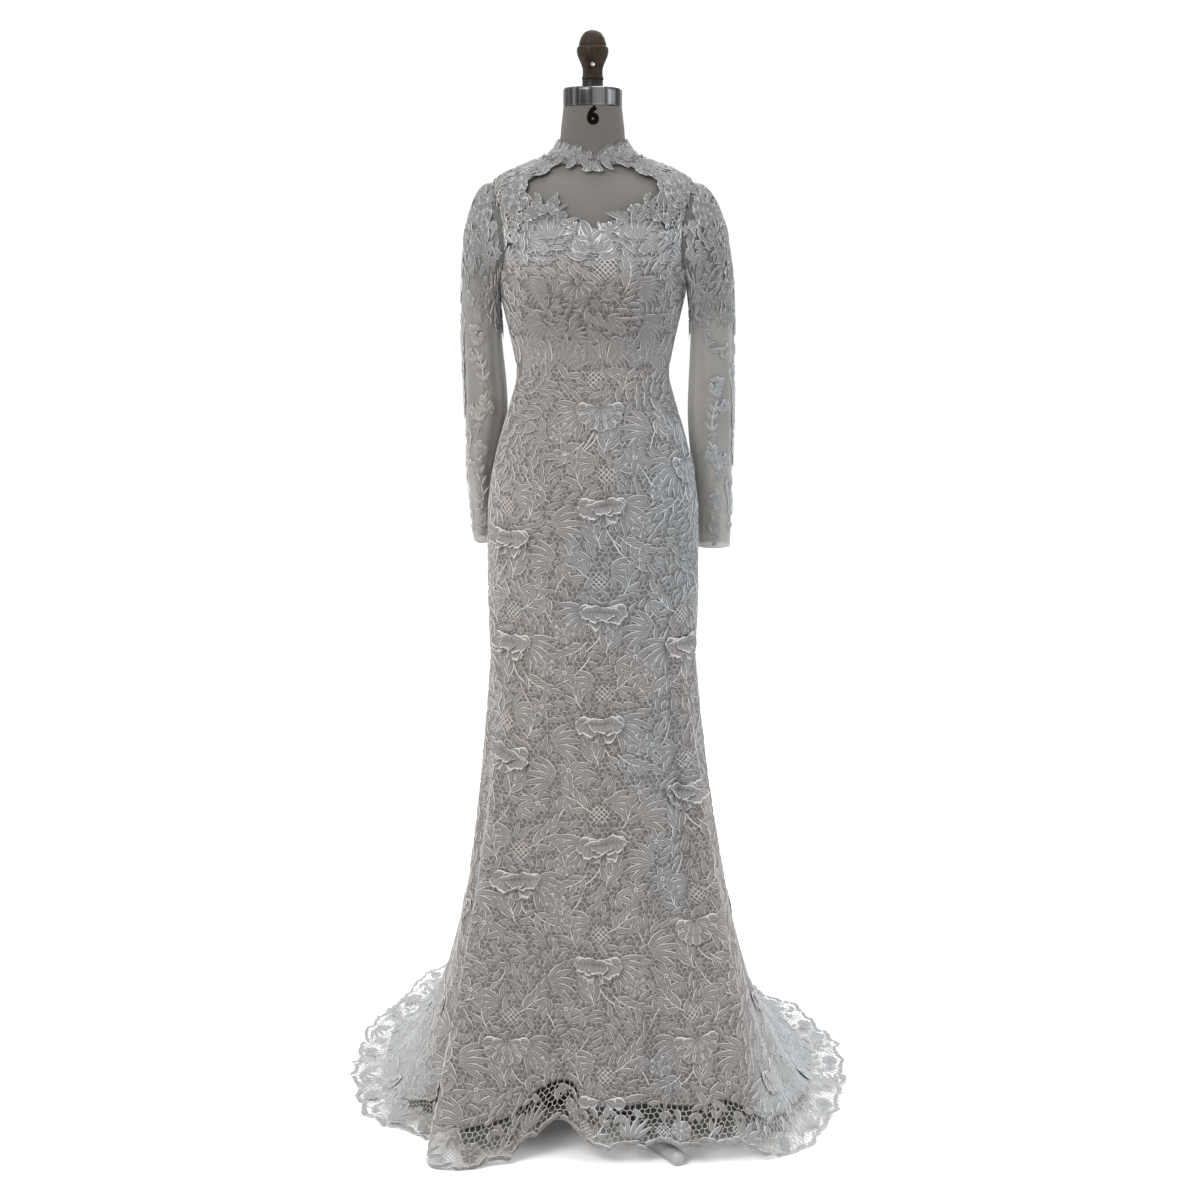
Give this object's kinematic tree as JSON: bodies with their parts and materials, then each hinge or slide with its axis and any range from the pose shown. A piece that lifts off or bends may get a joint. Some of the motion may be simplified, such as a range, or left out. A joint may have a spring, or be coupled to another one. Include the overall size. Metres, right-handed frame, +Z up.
{
  "type": "wedding dress on a dress form",
  "caption": "Long-sleeved trumpet wedding dress in corded lace with a keyhole neck, scalloped openwork hem and short train, on a limbless dress form.",
  "frame": {"origin": "on the floor, at the centre of the stand hub's underside, on the pole's axis", "axes": "+Z up, -Y towards the dress's front, +X towards the wearer's left; the train lies towards +Y"},
  "size_m": [0.8562, 1.0454, 1.7203],
  "materials": {
    "lace_on_lining": "matt ivory corded lace sewn over a grey beige lining",
    "openwork_lace": "matt ivory corded lace with open ground",
    "sleeve_net": "sheer soft net with ivory lace motifs",
    "button_satin": "ivory satin",
    "form_linen": "plain woven linen",
    "cap_steel": "turned and brushed",
    "ferrule_paint": "satin black",
    "finial_wood": "dark stain, worn satin varnish",
    "stand_paint": "satin light grey"
  },
  "bodies": {
    "root": {"bodice_back_left": "lace_on_lining", "bodice_back_right": "lace_on_lining", "bodice_front": "lace_on_lining", "button_01": "button_satin", "button_02": "button_satin", "button_03": "button_satin", "button_04": "button_satin", "button_05": "button_satin", "button_06": "button_satin", "button_07": "button_satin", "button_08": "button_satin", "button_09": "button_satin", "button_10": "button_satin", "button_11": "button_satin", "button_12": "button_satin", "button_13": "button_satin", "collar": "lace_on_lining", "finial": "finial_wood", "finial_ferrule": "ferrule_paint", "finial_screw": "cap_steel", "form_torso": "form_linen", "hem_lace_front": "openwork_lace", "neck_cap": "cap_steel", "petal_01": "lace_on_lining", "petal_02": "lace_on_lining", "petal_03": "lace_on_lining", "petal_04": "lace_on_lining", "petal_05": "lace_on_lining", "petal_06": "lace_on_lining", "petal_07": "lace_on_lining", "petal_08": "lace_on_lining", "petal_09": "lace_on_lining", "petal_10": "lace_on_lining", "petal_11": "lace_on_lining", "petal_12": "lace_on_lining", "petal_13": "lace_on_lining", "petal_14": "lace_on_lining", "petal_15": "lace_on_lining", "petal_16": "lace_on_lining", "petal_17": "lace_on_lining", "pole": "cap_steel", "skirt_back_left": "lace_on_lining", "skirt_back_right": "lace_on_lining", "skirt_front": "lace_on_lining", "sleeve_left": "sleeve_net", "sleeve_right": "sleeve_net", "stand_hub": "stand_paint", "stand_leg_1": "stand_paint", "stand_leg_2": "stand_paint", "stand_leg_3": "stand_paint", "stand_leg_4": "stand_paint", "train_lace_left": "openwork_lace", "train_lace_right": "openwork_lace", "yoke_front_left": "lace_on_lining", "yoke_front_right": "lace_on_lining"}
  },
  "joints": []
}
